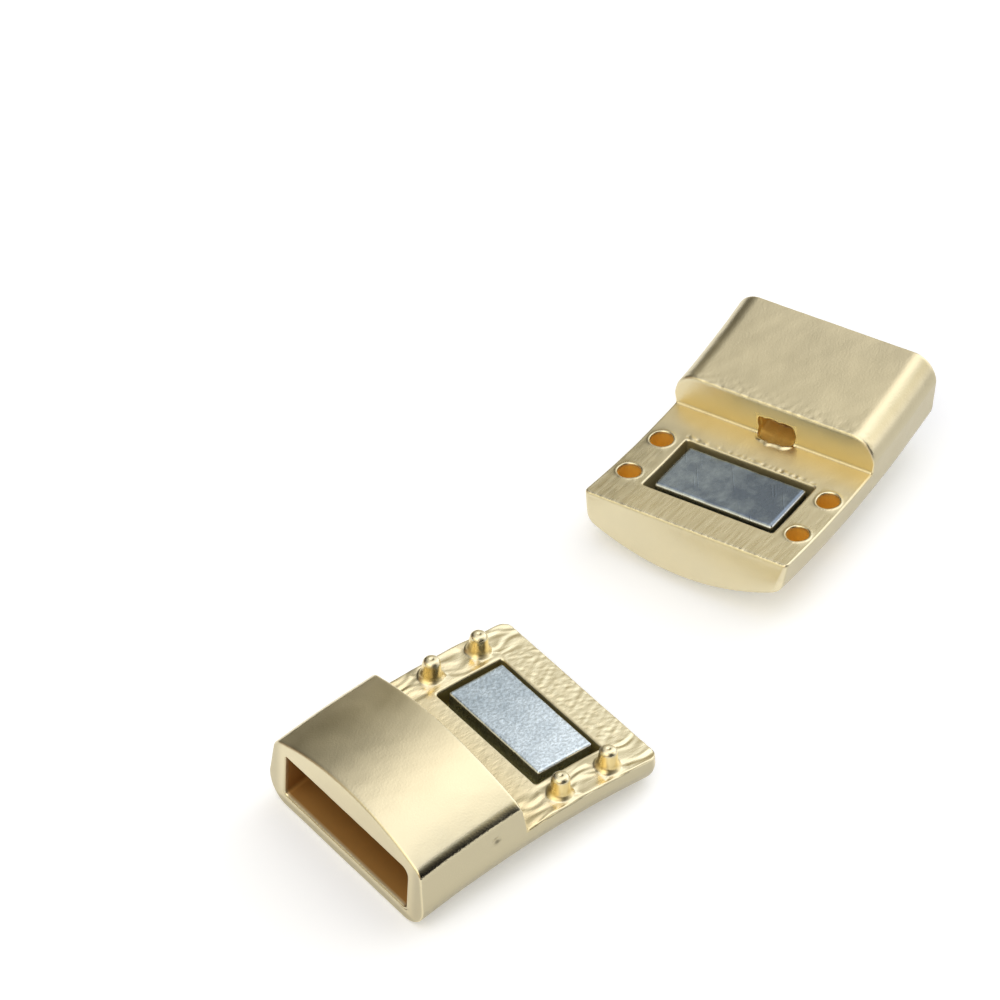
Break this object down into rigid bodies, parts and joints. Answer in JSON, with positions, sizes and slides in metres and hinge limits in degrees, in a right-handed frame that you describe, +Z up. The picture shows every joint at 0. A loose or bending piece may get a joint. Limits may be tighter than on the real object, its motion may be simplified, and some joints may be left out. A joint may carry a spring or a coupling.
{
  "type": "magnetic clasp",
  "caption": "open magnetic clasp for a flat strap: two curved satin gold halves with a glue-in strap slot, one with locating pins and one with holes, each holding a bar magnet",
  "frame": {"origin": "on the floor, under the middle of the box round both halves", "axes": "+X from the pin half to the socket half, along the strap of the pin half; +Y across the strap; +Z up from the floor"},
  "size_m": [0.0479, 0.0234, 0.007],
  "materials": {
    "gold_casting": "satin pale gold plate on a zinc alloy casting",
    "magnet_plate": "satin nickel plate"
  },
  "bodies": {
    "root": {"pin_half": "gold_casting", "socket_half": "gold_casting", "pin_half_magnet": "magnet_plate", "socket_half_magnet": "magnet_plate"}
  },
  "joints": []
}
